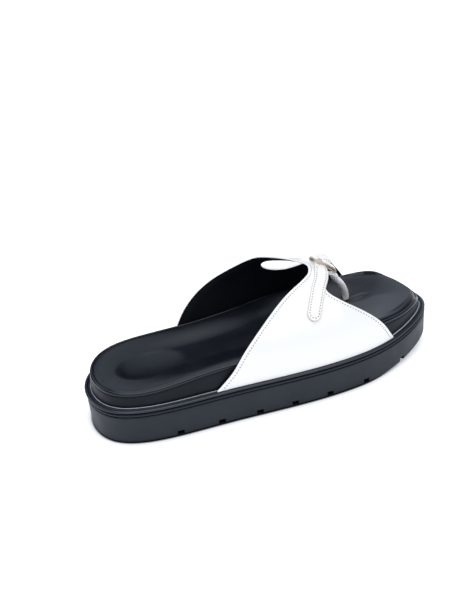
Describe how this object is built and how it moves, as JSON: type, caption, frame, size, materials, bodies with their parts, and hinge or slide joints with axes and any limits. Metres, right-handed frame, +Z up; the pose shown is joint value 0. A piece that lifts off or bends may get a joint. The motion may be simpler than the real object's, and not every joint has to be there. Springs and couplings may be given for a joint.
{
  "type": "slide sandal",
  "caption": "Right toe-post slide sandal: platform outsole, padded footbed, two broad leather flaps that meet at the instep, a toe post and a tied bow.",
  "frame": {"origin": "on the floor, under the middle of the box round the shoe", "axes": "+X from heel to toe, +Y to the medial side (the big toe's), +Z up"},
  "size_m": [0.2708, 0.1017, 0.0836],
  "materials": {
    "outsole_rubber": "matt black moulded rubber foam",
    "footbed_cover": "smooth black leather with a soft sheen",
    "upper_leather": "smooth white leather with a clear gloss, black lining",
    "toe_post_leather": "rolled pale grey leather",
    "bow_leather": "smooth white leather strap with beige cut edges"
  },
  "bodies": {
    "root": {"outsole": "outsole_rubber", "footbed": "footbed_cover", "upper": "upper_leather", "toe_post": "toe_post_leather", "bow": "bow_leather"}
  },
  "joints": []
}
